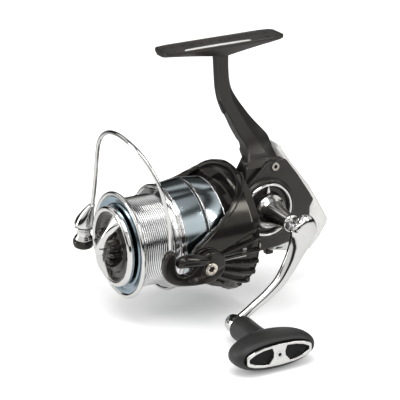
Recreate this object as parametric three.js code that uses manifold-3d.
// Front-drag spinning reel, modelled about its main shaft and hung from its foot. Millimetres, +Z up.
// The main shaft is the Y axis with the spool towards -Y (front); the crank axis is parallel to X,
// with the handle on +X; the foot is at +Z.
// The group is shifted so that its origin is the centre of the foot's top face.
import * as THREE from "three";
import { mergeVertices } from "three/addons/utils/BufferGeometryUtils.js";
import Module from "manifold-3d";

const wasm = await Module();
wasm.setup();

// ---- Driving dimensions. Axis places along X are [y, z], along Y [x, z], along Z [x, y].
const FOOT_Y = -17; // foot centre
const FOOT_Z = 89; // foot top
const FOOT_LENGTH = 62;
const FOOT_WIDTH = 14.8;
const CRANK_Z = 8.5;
const CRANK = [0, CRANK_Z];
const LIP_R = 25; // spool lip ring
const BAND_R = 25;
const ARBOR_R = 20.6; // line arbor
const SKIRT_R = 25.8;
const SKIRT_REAR_R = 24.9;
const SKIRT_Y = -26;
const ROTOR_TURN = 9; // rotor's rest angle, degrees
const ARM_INNER_R = 27.4; // rotor arms
const ARM_OUTER_R = 31;
const PIVOT_Y = -42;
const PIVOT = [PIVOT_Y, 0]; // bail pivots
const BAIL_IN = 31.3; // inner and outer faces of the bail's two side parts
const BAIL_OUT = 34.5;
const HINGE_X = 40;
const HINGE = [HINGE_X, 0]; // fold hinge of the handle arm, before its tilt
const HINGE_TILT = (Math.atan2(-0.28, 0.96) * 180) / Math.PI; // degrees about X
const KNOB_Y = -37.3;
const KNOB_Z = -28.7;
const KNOB = [KNOB_Y, KNOB_Z]; // grip axis
const KNOB_SET = 5.6; // outward set of the handle arm at the grip
const DRIVE_TEETH = 30;
const DRIVE_R = 12; // drive gear
const PINION_TEETH = 6;
const OSC_DRIVE_TEETH = 10;
const OSC_TEETH = 20;
const OSC = [10.5, -0.45]; // oscillating gear
const GUIDE_ROD = [0, -5.5];
const LEVER_ROD = [0, -10.2]; // anti-reverse rod
const COVER_SCREWS = { top: [5.4, 28.2], bottom: [-4.5, -9.3] };
const ROOT_SHARE = 0.62; // part of the tooth pitch that a tooth fills at its root and at its tip
const TIP_SHARE = 0.3;

// ---- Materials
const standard = (settings) => new THREE.MeshStandardMaterial(settings);
const black = standard({ color: 0x1b1a1b, roughness: 0.22, metalness: 0 });
const soft = standard({ color: 0x242323, roughness: 0.6, metalness: 0 });
const chrome = standard({ color: 0xd9dadb, roughness: 0.08, metalness: 1 });
const silver = standard({ color: 0xe4e5e6, roughness: 0.2, metalness: 0.9 });
const blue = standard({ color: 0x8fa3ad, roughness: 0.15, metalness: 1 });
const steel = standard({ color: 0xb9bbbd, roughness: 0.3, metalness: 1 });
const brass = standard({ color: 0xc8a860, roughness: 0.35, metalness: 1 });
const zinc = standard({ color: 0xa9a9a4, roughness: 0.45, metalness: 1 });
const felt = standard({ color: 0x3c3a38, roughness: 0.95, metalness: 0 });

// ---- Solids
// Welds a geometry, drops its collapsed triangles and turns it outside out where needed.
function solid(source) {
  const loose = source.index ? source.toNonIndexed() : source;
  const bare = new THREE.BufferGeometry().setAttribute("position", loose.getAttribute("position"));
  const welded = mergeVertices(bare, 1e-4);
  const corners = welded.index.array;
  const triangles = [];
  for (let i = 0; i < corners.length; i += 3) {
    const [a, b, c] = corners.slice(i, i + 3);
    if (a !== b && b !== c && a !== c) triangles.push([a, b, c]);
  }
  const build = (list) => new wasm.Manifold(new wasm.Mesh({
    numProp: 3,
    vertProperties: welded.attributes.position.array,
    triVerts: new Uint32Array(list.flat()),
  }));
  const made = build(triangles);
  return made.volume() < 0 ? build(triangles.map(([a, b, c]) => [a, c, b])) : made;
}

const rad = THREE.MathUtils.degToRad;
const polar = (radius, angle) => [radius * Math.cos(angle), radius * Math.sin(angle)];
const join = (...parts) => parts.reduce((whole, part) => whole.add(part));
const cut = (body, ...tools) => tools.reduce((rest, tool) => rest.subtract(tool), body);

// A profile of [radius, height] turned about +Y; closed unless it starts and ends on the axis.
function turn(profile, segs) {
  const points = profile.map(([r, h]) => new THREE.Vector2(r, h));
  if (profile[0][0] > 0 || profile.at(-1)[0] > 0) points.push(points[0].clone());
  return solid(new THREE.LatheGeometry(points, segs));
}
const turnX = (profile, segs, [y, z] = [0, 0]) =>
  turn(profile, segs).rotate([0, 0, -90]).translate([0, y, z]);
const turnZ = (profile, segs, [x, y] = [0, 0]) =>
  turn(profile, segs).rotate([90, 0, 0]).translate([x, y, 0]);
const band = (inner, outer, from, to) => [[inner, from], [outer, from], [outer, to], [inner, to]];
const ring = (inner, outer, from, to, segs) => turn(band(inner, outer, from, to), segs);
const ringX = (inner, outer, from, to, segs, centre) =>
  turnX(band(inner, outer, from, to), segs, centre);
const rod = (r, from, to, segs, [x, z] = [0, 0]) => ring(0, r, from, to, segs).translate([x, 0, z]);
const rodX = (r, from, to, segs, centre) => ringX(0, r, from, to, segs, centre);
const rodZ = (r, from, to, segs, centre) => turnZ(band(0, r, from, to), segs, centre);

const shapeOf = (outline) => new THREE.Shape(outline.map(([a, b]) => new THREE.Vector2(a, b)));
const axisX = new THREE.Vector3(1, 0, 0);
const axisY = new THREE.Vector3(0, 1, 0);
const axisZ = new THREE.Vector3(0, 0, 1);

// A [y, z] outline swept along +X from x; the bevels add their thickness at both ends.
function sweepX(outline, x, depth, bevelSize, bevelThickness, bevelSegments) {
  const options = {
    depth, bevelEnabled: bevelSize > 0, bevelSize, bevelOffset: -bevelSize, bevelThickness,
    bevelSegments,
  };
  const frame = new THREE.Matrix4().makeBasis(axisY, axisZ, axisX).setPosition(x, 0, 0);
  return solid(new THREE.ExtrudeGeometry(shapeOf(outline), options).applyMatrix4(frame));
}
const prismYZ = (outline, x0, x1, bevel = 0) =>
  sweepX(outline, x0 + bevel, x1 - x0 - 2 * bevel, bevel, bevel, 1);
const plainSweep = (outline, depth) =>
  new THREE.ExtrudeGeometry(shapeOf(outline), { depth, bevelEnabled: false });
function prismXZ(outline, y0, y1) {
  const frame = new THREE.Matrix4().makeBasis(axisX, axisZ, axisY.clone().negate());
  return solid(plainSweep(outline, y1 - y0).applyMatrix4(frame.setPosition(0, y1, 0)));
}
const prismXY = (outline, z0, z1) => solid(plainSweep(outline, z1 - z0).translate(0, 0, z0));
const box = (x0, x1, y0, y1, z0, z1) => solid(
  new THREE.BoxGeometry(x1 - x0, y1 - y0, z1 - z0)
    .translate((x0 + x1) / 2, (y0 + y1) / 2, (z0 + z1) / 2),
);

// A closed smooth outline through the given points.
function smooth(outline, steps) {
  const points = outline.map(([a, b]) => new THREE.Vector3(a, b, 0));
  const curve = new THREE.CatmullRomCurve3(points, true, "centripetal");
  return curve.getPoints(steps).slice(0, -1).map(({ x, y }) => [x, y]);
}

// A wire with a polygonal section along a smooth path of [x, y, z] points.
function wire(path, radius, steps, sides) {
  const points = path.map((point) => new THREE.Vector3(...point));
  const extrudePath = new THREE.CatmullRomCurve3(points, false, "centripetal");
  const section = Array.from({ length: sides }, (_, i) => polar(radius, (2 * Math.PI * i) / sides));
  const options = { steps, extrudePath, bevelEnabled: false };
  return solid(new THREE.ExtrudeGeometry(shapeOf(section), options));
}

function gearOutline(teeth, root, tip, phase = 0, [dx, dy] = [0, 0]) {
  const pitch = (2 * Math.PI) / teeth;
  const corners = [[root, -ROOT_SHARE], [tip, -TIP_SHARE], [tip, TIP_SHARE], [root, ROOT_SHARE]];
  return Array.from({ length: teeth }, (_, i) => corners.map(([radius, share]) => {
    const [x, y] = polar(radius, i * pitch + phase + (share / 2) * pitch);
    return [x + dx, y + dy];
  })).flat();
}

const reel = new THREE.Group();
reel.position.set(0, -FOOT_Y, -FOOT_Z);
const rotorGroup = new THREE.Group();
rotorGroup.rotation.y = rad(ROTOR_TURN);
reel.add(rotorGroup);

function piece(name, part, material, group = reel) {
  const { vertProperties, triVerts } = part.getMesh();
  const shell = new THREE.BufferGeometry()
    .setAttribute("position", new THREE.BufferAttribute(vertProperties, 3))
    .setIndex(new THREE.BufferAttribute(triVerts, 1));
  shell.computeVertexNormals();
  const mesh = new THREE.Mesh(shell, material);
  mesh.name = name;
  group.add(mesh);
}
const rotorPiece = (name, part, material) => piece(name, part, material, rotorGroup);

// ---- Body. Side outlines are [y, z].
const HOUSING = [
  [-10, 20.9], [-9.3, 31.5], [2, 33], [11, 30.8], [17.3, 22.5], [24, 12.5], [27, 7.5],
  [26.5, -3], [20.5, -11.5], [9, -13.4], [-2, -13.4], [-10, -11],
];
const CAVITY = [
  [-7.6, 20], [-6, 24], [8, 24.5], [15, 20.5], [21.5, 11.5], [24.3, 6.8], [24, -2],
  [19.2, -9.4], [8.4, -11], [-2, -11], [-7.6, -9],
];
const STEM = [
  [-19.6, 84.5], [-19.2, 76], [-18.6, 66], [-16.8, 58.5], [-12.5, 50.6], [-8.4, 43.9],
  [-5.4, 37.6], [-6, 31], [-9.5, 26], // front edge, downwards
  [10, 26], [9.6, 33.6], [7.9, 39.1], [7.0, 41.4], [2.1, 46.8], [-3.1, 52.8], [-8.1, 59.8],
  [-11.4, 65.3], [-12.8, 70], [-13.4, 79], [-13.4, 84.5], // rear edge, upwards
];
const STEM_ROOT = [
  [-12.6, 51], [-8.2, 43.9], [-5.2, 37.6], [-5.8, 31], [-9.3, 26], [9, 26], [4, 33], [-3.6, 46],
];
const FOOT_PLAN = [ // [x, y]
  [-6.6, -46.2], [-7.4, -41], [-7.4, 7], [-6.2, 12.2], [0, 14],
  [6.2, 12.2], [7.4, 7], [7.4, -41], [6.6, -46.2], [0, -48],
];

function foot() {
  const front = FOOT_Y - FOOT_LENGTH / 2;
  const rear = FOOT_Y + FOOT_LENGTH / 2;
  const side = [
    [front, FOOT_Z - 1.8], [-24, FOOT_Z - 5.6], [-19.6, FOOT_Z - 7], [-13.4, FOOT_Z - 7],
    [-9, FOOT_Z - 5.6], [rear, FOOT_Z - 1.8], [rear, FOOT_Z], [front, FOOT_Z],
  ];
  return prismYZ(side, -FOOT_WIDTH / 2, FOOT_WIDTH / 2)
    .intersect(prismXY(smooth(FOOT_PLAN, 40), 70, 90));
}

function housing() {
  const neck = join(ring(11.9, 13.8, -21.1, -9.9, 24), ring(8.1, 12.5, -16.1, -12.5, 24));
  let body = join(
    prismYZ(HOUSING, -13.2, -1, 1.6),
    prismYZ(HOUSING, -3, 9.6),
    prismYZ(STEM, -3.4, 3.4, 0.8),
    prismYZ(STEM_ROOT, -5.6, 5.6, 1.8),
    foot(),
    neck,
  );
  body = cut(
    body,
    prismYZ(CAVITY, -10.6, 12),
    rod(8.1, -12.6, -6, 24),
    rodX(DRIVE_R + 0.35, 3.6, 9.7, 24, CRANK), // drive gear clearance
    rodX(5.5, -14, -10, 16, CRANK), // left bearing seat
    box(-4, 4, 6.5, 11.5, -16, -10.5), // anti-reverse lever slot
    prismXZ([[-14, 20], [-5.6, 33.5], [-14, 34]], -12, 16), // upper left slope
  );
  const gearPost = rodX(1.9, -11, -6.2, 16, OSC);
  const guideRodSeat = box(-2.2, 2.2, 19.6, 23.4, -7, -4);
  body = cut(
    join(body, gearPost, guideRodSeat),
    rod(1.2, -9.2, 21.6, 12, GUIDE_ROD),
    rod(1.2, -9.9, 14, 12, LEVER_ROD),
    box(4.8, 6.0, FOOT_Y - 20.2, FOOT_Y + 20.2, FOOT_Z - 0.5, FOOT_Z + 1), // inlay recess
  );
  for (const place of Object.values(COVER_SCREWS)) {
    const boss = rodX(2.6, 3.4, 9.6, 14, place).intersect(prismYZ(HOUSING, -12, 9.6));
    body = cut(join(body, boss), rodX(1.2, 0, 12, 10, place));
  }
  return body;
}
piece("body_housing", housing(), black);

const COVER = [
  [-9.8, 20.9], [1.6, 31.0], [11.4, 30.6], [17.5, 22.4], [24.3, 12], [26.5, 8.1], [21.8, 0],
  [13, -9.1], [8.6, -11.2], [-1.6, -12.4], [-9.8, -11],
];
function sideCover() {
  let cover = cut(
    join(prismYZ(COVER, 9.8, 12.4, 0.5), ringX(5.5, 15.2, 9.8, 14.6, 28, CRANK)),
    rodX(5.5, 9, 13.2, 24, CRANK), // bearing seat
    rodX(4.4, 9, 16, 20, CRANK),
    ringX(10.4, 12.3, 13.6, 15, 24, CRANK), // trim ring groove
    box(9, 16, -17, -12.2, -16, 32),
    rod(13.95, -30, -9.8, 24), // room for the neck
  );
  for (const place of Object.values(COVER_SCREWS)) {
    cover = cut(cover, rodX(1.5, 9, 13, 10, place), rodX(2.5, 11.2, 13, 14, place));
  }
  return cover;
}
piece("side_cover", sideCover(), black);

for (const [name, place] of Object.entries(COVER_SCREWS)) {
  const screw = join(rodX(2.2, 11.3, 12.7, 14, place), rodX(1.0, 4, 11.3, 10, place));
  piece("cover_screw_" + name, cut(screw, rodX(0.9, 12, 13, 6, place)), steel);
}

function crankTrim() {
  let trim = ringX(10.6, 12.1, 13.7, 15.4, 24, CRANK);
  for (const angle of [90, 210, 330]) {
    const spoke = box(14.7, 15.6, 8.6, 11.2, -1.1, 1.1).rotate([angle, 0, 0]);
    trim = trim.add(spoke.translate([0, 0, CRANK_Z]));
  }
  return join(trim, ringX(8.4, 9.2, 14.7, 15.4, 18, CRANK));
}
piece("crank_trim_ring", crankTrim(), chrome);

const REAR_OUTER = [
  [3, 37.5], [9.6, 37.5], [12.2, 34], [16.9, 27.1], [27.4, 13.3], [33, 3.6], [37.8, -5.2],
  [37.2, -7.4], [33.1, -13.6], [27.6, -19.2], [22, -19.4], [12, -16.8], [3, -15.6],
];
const REAR_INNER = [
  [-4, -13.75], [9, -13.75], [20.7, -11.85], [26.85, -3.1], [27.35, 7.6], [24.3, 12.7],
  [17.6, 22.8], [11.3, 31.1], [10, 33.8], [8.3, 39.2], [7.4, 41.5], [2.3, 47], [-4, 47],
];
const REAR_HOLLOW = [
  [27.9, 6.5], [31.4, 1.5], [35, -5.6], [31.2, -12.2], [26.4, -17.0], [14, -14.9], [14, -12],
  [26, -2],
];
piece("rear_cover", cut(
  prismYZ(REAR_OUTER, -8.6, 8.6, 1.8),
  prismYZ(REAR_INNER, -12, 12),
  prismYZ(REAR_HOLLOW, -6.4, 6.4),
  box(-4.6, 4.6, 6.5, 12, -20, -12.5), // lever slot
), silver);

const inlay = box(5.0, 5.8, FOOT_Y - 20, FOOT_Y + 20, FOOT_Z - 0.45, FOOT_Z - 0.05);
piece("foot_inlay", inlay, silver);

// ---- Crank: bearings, shaft, gears, cap and hub
piece("drive_bearing_right", ringX(3.4, 5.3, 9.9, 13.1, 24, CRANK), steel);
piece("drive_bearing_left", ringX(3.4, 5.3, -13.1, -10.2, 24, CRANK), steel);
const driveShaft = cut(rodX(3.2, -15.2, 16.1, 20, CRANK), rodX(1.7, -16, 8, 14, CRANK));
piece("drive_shaft", driveShaft, steel);

const driveTeeth = prismYZ(gearOutline(DRIVE_TEETH, 10.9, DRIVE_R - 0.1), 3.95, 7.4);
piece("drive_gear", cut(
  join(driveTeeth, ringX(3.3, 5.4, 2.6, 8.4, 16)),
  rodX(8.6, 3, 4.9, 20).subtract(rodX(5.4, 2, 6, 16)), // recess in the left face
  rodX(3.3, 2, 9, 16),
).translate([0, 0, CRANK_Z]), zinc);

const oscDriveTeeth = prismYZ(gearOutline(OSC_DRIVE_TEETH, 4.0, 4.7, 0, CRANK), -9.2, -6.8);
piece("oscillation_drive_gear", cut(oscDriveTeeth, rodX(3.3, -10, -6, 20, CRANK)), zinc);

function screwCap() {
  let cap = turnX([
    [0, -19.4], [5.2, -19.4], [7, -17.6], [7, -14.2], [3.5, -14.2], [3.5, -15.5], [1.45, -15.5],
    [1.45, 7.8], [0, 7.8],
  ], 20, CRANK);
  for (let i = 0; i < 6; i++) {
    const scallop = rodX(1.1, -20, -15.6, 6, [7.3, 0]).rotate([60 * i, 0, 0]);
    cap = cap.subtract(scallop.translate([0, 0, CRANK_Z]));
  }
  return cap;
}
piece("handle_screw_cap", screwCap(), black);

// Tilts a part of the fold hinge about X and lifts it to the crank axis.
const tilt = (part) => part.rotate([HINGE_TILT, 0, 0]).translate([0, 0, CRANK_Z]);

const hub = turnX([
  [0, 16.4], [8, 16.4], [8.1, 17.6], [7.3, 18.6], [6.2, 20.6], [5.2, 23.6], [4.3, 28],
  [3.7, 32.4], [3.6, 35.2], [0, 35.2],
], 22, CRANK);
const tongue = tilt(cut(
  join(box(35, 39.9, -1.7, 1.7, -2.2, 2.2), rod(2.2, -1.7, 1.7, 20, HINGE)),
  rod(1.15, -3, 3, 16, HINGE),
));
piece("handle_hub", join(hub, tongue), chrome);

// ---- Handle arm, folded about the hinge pin
const hingePin = cut(
  join(rod(1.0, -4.6, 4.6, 16), rod(1.9, 4.6, 5.3, 16)),
  box(-2, 2, 5.05, 6, -0.25, 0.25), // slot in the head
);
piece("handle_hinge_pin", tilt(hingePin.translate([HINGE_X, 0, 0])), steel);

const ARM = [ // [y, z]
  [-4.4, 9.6], [0.5, 12.2], [7.4, 9.4], [10.2, 4.6], [6.6, -1.6], [0.4, -7.6], [-4.9, -12.6],
  [-10.6, -17.3], [-18.4, -21.2], [-30, -28], [-35.6, -31.6], [-40.4, -30], [-38.6, -26],
  [-32.6, -23.2], [-21.2, -16.4], [-14.4, -12.1], [-10.5, -7.4], [-7.1, -2.2], [-4.6, 2.6],
];
function handleArm() {
  // The arm leans out by KNOB_SET over the 28 mm below z = 2.
  const blade = sweepX(smooth(ARM, 30), 38.8, 2.6, 1.4, 1.9, 1).warp((v) => {
    const drop = Math.min(1, Math.max(0, (2 - v[2]) / 28));
    v[0] += KNOB_SET * drop * drop * (3 - 2 * drop);
  });
  const end = new THREE.SphereGeometry(4.3, 12, 6).translate(41.6 + KNOB_SET, KNOB_Y, KNOB_Z);
  return cut(
    join(blade, solid(end), tilt(rod(3.4, -4.5, 4.5, 20, HINGE))),
    tilt(join(box(32, 42.6, -2.0, 2.0, -3.4, 12), box(32, 38.4, -2.0, 2.0, -6, 9))), // fork slot
    box(30, 36.6, -40, 40, -60, 30), // flat inner side
    tilt(rod(1.15, -6, 6, 16, HINGE)),
    tilt(rod(2.2, 4.45, 8, 16, HINGE)),
    rodX(1.7, 38.6, 56, 16, KNOB),
  );
}
piece("handle_arm", handleArm(), chrome);

const collar = rodX(3.1, 45.9 + KNOB_SET, 46.9 + KNOB_SET, 16, KNOB);
piece("knob_shaft", cut(
  join(rodX(1.6, 38.8 + KNOB_SET, 82, 16, KNOB), collar),
  rodX(0.8, 76, 83, 8, KNOB),
), steel);

// ---- Grip
piece("knob_bearing_inner", ringX(1.75, 3.4, 47.1 + KNOB_SET, 50 + KNOB_SET, 20, KNOB), steel);
piece("knob_bearing_outer", ringX(1.75, 3.4, 78.4, 81.2, 20, KNOB), steel);
piece("knob_screw", join(rodX(0.65, 77, 82.3, 10, KNOB), rodX(2.5, 82.3, 83.6, 16, KNOB)), steel);

// The T-bar's rounded [y, z] outline, from its half sizes along Y and Z.
const power = (value, exponent) => Math.sign(value) * Math.abs(value) ** exponent;
const teeOutline = (halfY, halfZ) => Array.from({ length: 20 }, (_, i) => {
  const [c, s] = polar(1, (2 * Math.PI * i) / 20);
  return [KNOB_Y + halfY * power(c, 0.92), KNOB_Z + halfZ * power(s, 0.86)];
});
const gripStem = turnX([
  [0, 47 + KNOB_SET], [6.0, 47 + KNOB_SET], [6.6, 48.2 + KNOB_SET], [6.3, 60], [5.9, 65],
  [6.4, 69], [7.6, 72], [0, 72],
], 18, KNOB);
piece("knob_grip", cut(
  join(gripStem, sweepX(teeOutline(20.5, 8.2), 73, 8, 4.2, 5, 2)),
  rodX(3.5, 46, 50.1 + KNOB_SET, 20, KNOB), // bearing seats and bore
  rodX(2.4, 46, 80, 16, KNOB),
  rodX(3.5, 78.3, 90, 20, KNOB),
  prismYZ(teeOutline(17.2, 5.9), 85, 90), // cap recess
), soft);

const CAP_HOLLOW = [ // [y, z] from the grip axis
  [5.2, 2.9], [9.5, 2.6], [14.3, 0.5], [14.3, -0.5], [9.5, -2.6], [5.2, -2.9], [4, 0],
];
const capHollows = [1, -1].map((side) => {
  const outline = CAP_HOLLOW.map(([y, z]) => [KNOB_Y + side * y, KNOB_Z + side * z]);
  return prismYZ(outline, 85.8, 88);
});
const capPlate = prismYZ(teeOutline(17, 5.7), 85.1, 87.2, 0.4);
piece("knob_cap", cut(capPlate, ...capHollows, rodX(1.1, 86, 88, 10, KNOB)), chrome);

// ---- Pinion, bearing and one-way clutch
const pinion = join(
  prismXZ(gearOutline(PINION_TEETH, 2.95, 3.6, rad(30)), -9.2, -3),
  rod(3.7, -12.4, -9.1, 18),
  rod(3.2, -32.5, -12, 18),
);
piece("pinion_gear", cut(pinion, rod(2.25, -34, 0, 18)), brass, rotorGroup);
piece("pinion_bearing", ring(3.4, 7.95, -16, -12.6, 22), steel);
const clutchPockets = [0, 60, 120, 180, 240, 300].map((angle) =>
  rod(1.35, -22, -16, 6, [6.0, 0]).rotate([0, angle, 0]));
piece("clutch_housing", cut(ring(5.1, 11.7, -20.9, -16.4, 24), ...clutchPockets), black);
rotorPiece("clutch_sleeve", ring(3.35, 4.5, -20.8, -16.5, 20), steel);
piece("clutch_retainer", ring(5.4, 13.6, -22.2, -21.4, 24), steel);

// ---- Oscillation: gear with its crank pin, and the two rods; anti-reverse lever
piece("oscillating_gear", cut(
  join(
    prismYZ(gearOutline(OSC_TEETH, 8.1, 8.85, rad(3.4), OSC), -9.2, -6.8),
    rodX(3.1, -9.2, -6.4, 16, OSC),
    rodX(1.2, -7, -3.9, 10, [OSC[0] + 6.3, OSC[1]]),
  ),
  rodX(2.1, -10, -5, 16, OSC),
), zinc);
piece("slider_guide_rod", rod(1.0, -9, 21.2, 12, GUIDE_ROD), steel);
piece("anti_reverse_rod", rod(0.95, -9.7, 13.5, 12, LEVER_ROD), steel);
piece("anti_reverse_lever", cut(
  join(
    box(-1.4, 1.4, 7.2, 10.8, -17.4, -9),
    rod(2.2, 7.2, 10.8, 20, LEVER_ROD),
    box(-2.6, 2.6, 7.0, 11.0, -20.6, -17),
  ),
  rod(1.1, 6, 12, 16, LEVER_ROD),
), black);

// ---- Main shaft and slider
piece("oscillation_slider", cut(
  box(-3, 3, 14.3, 19.3, -7.6, 2.9),
  rod(2.1, 12, 19.0, 18),
  rod(1.25, 12, 21, 14, GUIDE_ROD),
), zinc);
piece("main_shaft", join(rod(2, -79.2, 18.9, 20), rod(3.0, -39.2, -37.6, 16)), steel);
piece("spool_seat_washer", ring(2.15, 4.4, -40.6, -39.6, 16), steel);
piece("spool_hub_sleeve", cut(
  join(rod(3.4, -60, -40.9, 20), box(-4.6, 4.6, -43, -40.9, -1.4, 1.4)),
  rod(2.12, -61, -40, 20),
), brass);

// ---- Spool and drag stack. Profiles are [radius, y].
piece("spool", turn([
  [3.6, -60.4], [9.9, -60.4], [9.9, -72.2], [12.6, -72.2], [19.6, -70.6], [22.6, -70.4],
  [22.6, -69.2], [ARBOR_R, -68.6], [ARBOR_R, -51.9], [23.3, -50.9], [23.3, -48.6], [24.2, -48.4],
  [SKIRT_R, -36], [SKIRT_REAR_R, SKIRT_Y], [23.8, SKIRT_Y], [24.7, -36], [23.1, -47],
  [19, -49.2], [18.6, -66.4], [11.6, -66.4], [11.6, -56], [3.6, -56],
], 30), blue);
piece("spool_lip_ring", turn([
  [22.75, -69.1], [22.75, -71.2], [24.2, -71.5], [LIP_R, -70.6], [24.2, -68.9],
], 30), chrome);
piece("spool_band", turn([
  [23.4, -48.7], [23.4, -50.9], [24.2, -51.4], [BAND_R, -50.4], [24.7, -48.8],
], 30), chrome);

const WASHER_PITCH = 1.1;
const DRAG_WASHERS = [ // name, bore radius, material; rear to front
  ["lower_felt", 2.6, felt],
  ["keyed", 2.2, steel],
  ["upper_felt", 2.6, felt],
  ["eared", 2.6, steel],
];
DRAG_WASHERS.forEach(([name, bore, material], i) => {
  const front = -61.6 - i * WASHER_PITCH;
  piece("drag_washer_" + name, ring(bore, 9.4, front, front + 0.9, 24), material);
});

const clipAngles = Array.from({ length: 17 }, (_, i) => rad(15 + i * 20.6));
const clipOuter = clipAngles.map((angle) => polar(9.5, angle));
const clipInner = clipAngles.map((angle) => polar(8.7, angle)).reverse();
piece("drag_retaining_ring", prismXZ([...clipOuter, ...clipInner], -65.9, -65.2), steel);

// ---- Drag knob
piece("drag_knob_dish", turn([
  [2.3, -67.2], [8.6, -67.2], [8.8, -72.6], [12.4, -72.6], [17.2, -72.2], [17.2, -73.4],
  [12, -73.8], [9, -74.6], [5.5, -76], [2.3, -76],
], 24), black);

const BAR_FRONT = [ // [x, z]
  [-16.6, -1.9], [-16.6, 1.9], [-9, 3.4], [0, 2.2], [9, 3.4],
  [16.6, 1.9], [16.6, -1.9], [9, -3.4], [0, -2.2], [-9, -3.4],
];
const BAR_ARCH = [ // [x, y]
  [-17.6, -73.5], [-9.6, -74.9], [-5, -79.6], [5, -79.6], [9.6, -74.9], [17.6, -73.5],
  [17.6, -74.2], [13, -77.5], [5, -82.4], [-5, -82.4], [-13, -77.5], [-17.6, -74.2],
];
const knobRim = turn([
  [17.3, -72.1], [18.4, -71.9], [19, -73.2], [18.6, -75], [17.6, -75.4], [16.2, -74.8],
  [16.2, -73.7], [17.3, -73.6],
], 24);
const knobBar = prismXZ(BAR_FRONT, -84, -72).intersect(prismXY(BAR_ARCH, -6, 6));
piece("drag_knob_grip", join(knobRim, knobBar.rotate([0, 62, 0])), chrome);
piece("drag_knob_nut", cut(ring(2.05, 4.6, -78.6, -76.1, 6), rod(2.12, -80, -76, 16)), brass);

// ---- Rotor, in its own turned frame
const ROTOR_CUP = [ // [radius, y]
  [4.9, -28.4], [4.9, -25.2], [12, -24.8], [19.6, -22.6], [19.9, -12.7], [28.6, -12.7],
  [30.2, -13.8], [30.4, -16], [27.8, -18.6], [22.4, -19.4], [21.9, -22], [21.9, -37.8],
  [20.2, -37.8], [20, -28.2], [12, -28.4],
];
const ROTOR_ARM = [ // [y, z] of the +X arm; z is mirrored for the other
  [-11, -21], [-11, 17], [-17, 17], [-22, 15], [-28, 10.6], [-34, 8.2], [-40, 7.8], [-42, 8],
  [-48, 5.2], [-50, 0], [-48, -5.2], [-42, -8], [-36, -9.2], [-28, -13], [-21, -18], [-17, -21],
];
function rotorArm(side) {
  const span = (inner, outer) => (side > 0 ? [inner, outer] : [-outer, -inner]);
  const blade = prismYZ(ROTOR_ARM.map(([y, z]) => [y, side * z]), ...span(14, 33));
  const boss = rodX(8, ...span(24, 34), 20, PIVOT);
  return ring(ARM_INNER_R, ARM_OUTER_R, -50.4, -12.9, 32).intersect(join(blade, boss));
}
rotorPiece("rotor", cut(
  join(turn(ROTOR_CUP, 28), rotorArm(1), rotorArm(-1), ring(27, 30.4, -16.6, -12.9, 32)),
  rodX(1.7, 24, 34, 12, PIVOT),
  rodX(1.7, -34, -24, 12, PIVOT),
  box(26, 29.9, -34, -19.6, -3.4, 3.4), // trip lever pocket
  box(-30.2, -26, -34, -19.6, -1.6, 1.6), // spring pocket
), black);
rotorPiece("rotor_nut", cut(ring(3.3, 6.4, -31.4, -28.6, 6), rod(3.3, -33, -28, 20)), brass);
rotorPiece("bail_trip_lever", join(
  box(28.2, 29.2, -33.6, -20, -1.4, 1.4),
  box(28.2, 29.2, -22, -20, -1.4, 3.0),
), steel);

const coil = Array.from({ length: 37 }, (_, i) => {
  const [x, z] = polar(0.75, rad(i * 60));
  return [x - 28.95, -33.2 + i * 0.36, z];
});
rotorPiece("bail_spring", wire(coil, 0.22, 36, 4), steel);

for (const [name, angle] of [["near", 0], ["far", 180]]) {
  const profile = [[0, 34.7], [3.1, 34.7], [3.1, 35.6], [2.4, 36.2], [0, 36.2]];
  const head = cut(turnX(profile, 16), rodX(1.1, 35.5, 37, 6));
  const screw = join(head, rodX(1.5, 27.6, 34.7, 12)).rotate([0, 0, angle]);
  rotorPiece("bail_pivot_screw_" + name, screw.translate([0, PIVOT_Y, 0]), steel);
}

// ---- Bail. Side outlines are [y, z]; profiles of parts turned about Z are [radius, z].
const ROLLER = [-34, -71.4];
const CONE_LEAN = [1.6, 3.0]; // shift of the cone's tip in x and y
const WIRE_START = [31.9, -61.4];
const WIRE_END = [ROLLER[0] + CONE_LEAN[0], ROLLER[1] + CONE_LEAN[1]];

const HOLDER = [
  [-42, 7.6], [-46.4, 6.3], [-50.4, 3.2], [-54.6, 2.4], [-57.2, 4.4], [-58.6, 8.4],
  [-59.2, 11.6], [-64, 12], [-66.4, 8.4], [-66.4, 3.6], [-64.4, -0.6], [-60, -4.2], [-54, -6.6],
  [-48, -7.6], [-42, -7.6], [-37.4, -6], [-34.8, -2.6], [-34.8, 2.6], [-37.4, 6],
];
rotorPiece("bail_holder", cut(
  prismYZ(HOLDER, BAIL_IN, BAIL_OUT, 0.5),
  rodX(1.65, 30, 36, 18, PIVOT),
  rodZ(1.15, 6, 16, 10, WIRE_START).intersect(box(30, 34, -64, -58, 7, 14)),
), black);

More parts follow.
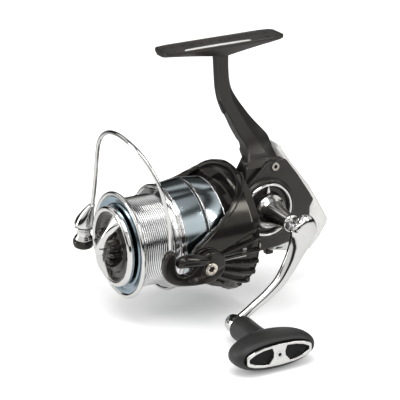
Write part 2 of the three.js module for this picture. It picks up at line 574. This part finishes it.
const LEVER = [
  [-42, 7.6], [-46.4, 6.3], [-50, 2], [-56, -2.6], [-63, -6.6], [-65.2, -10.6], [-66, -14],
  [-66.8, -18], [-60, -17], [-54, -13.8], [-48, -9.8], [-44, -7.6], [-37.4, -6], [-34.8, -2.6],
  [-34.8, 2.6], [-37.4, 6],
];
const ROLLER_SEAT = [[0, -18.4], [3.6, -18.4], [4.9, -17.4], [4.9, -14.2], [0, -14.2]];
rotorPiece("bail_arm_lever", cut(
  join(
    prismYZ(LEVER, -BAIL_OUT, -BAIL_IN, 0.5),
    turnZ(ROLLER_SEAT, 16, ROLLER),
    box(-34.4, -31.4, -69.4, -65, -18, -14.6),
  ),
  rodX(1.65, -36, -30, 18, PIVOT),
  rodZ(1.3, -20, -10, 14, ROLLER),
  rodZ(2.6, -19, -16.6, 16, ROLLER), // screw head recess
), black);
rotorPiece("line_roller", turnZ([
  [1.9, -13.8], [4.3, -13.8], [4.1, -12.8], [3.3, -11.4], [3.3, -9.6], [4.1, -8.2], [4.3, -7.3],
  [1.9, -7.3],
], 16, ROLLER), chrome);
rotorPiece("line_roller_bushing", turnZ(band(1.3, 1.8, -14.0, -7.2), 14, ROLLER), brass);
rotorPiece("line_roller_screw", turnZ([
  [0, -17.9], [2.4, -17.9], [2.4, -16.7], [1.1, -16.7], [1.1, -7.0], [0, -7.0],
], 16, ROLLER), steel);

const cone = turnZ([
  [0, -7.0], [4.2, -7.0], [4.7, -5.6], [3.9, -2], [2.4, 2], [1.5, 4.6], [0, 4.6],
], 16).warp((v) => {
  const rise = (v[2] + 7) / 11.6; // 0 at the base, 1 at the tip
  v[0] += ROLLER[0] + CONE_LEAN[0] * rise * rise;
  v[1] += ROLLER[1] + CONE_LEAN[1] * rise * rise;
});
rotorPiece("bail_cone", cut(cone, rodZ(1.3, 3, 6, 12, WIRE_END)), chrome);

const BAIL_PATH = [ // [x, y, z]
  [...WIRE_START, 8.4], [31.8, -61.6, 12], [31.6, -63, 23.6], [30.6, -64.6, 31.4],
  [28.6, -66.4, 40.2], [25.4, -68.4, 46.8], [20.6, -70.2, 51.6], [14.6, -71.6, 54.6],
  [6, -72.6, 56], [-3.4, -72.8, 55.2], [-12.6, -72.2, 52], [-20.4, -71.2, 46.8],
  [-25.8, -70.2, 40], [-28.8, -69.2, 31.6], [-30.2, -68.6, 23], [-31.2, -68.4, 13],
  [...WIRE_END, 3.2],
];
rotorPiece("bail_wire", wire(BAIL_PATH, 0.95, 34, 6), chrome);

export default reel;
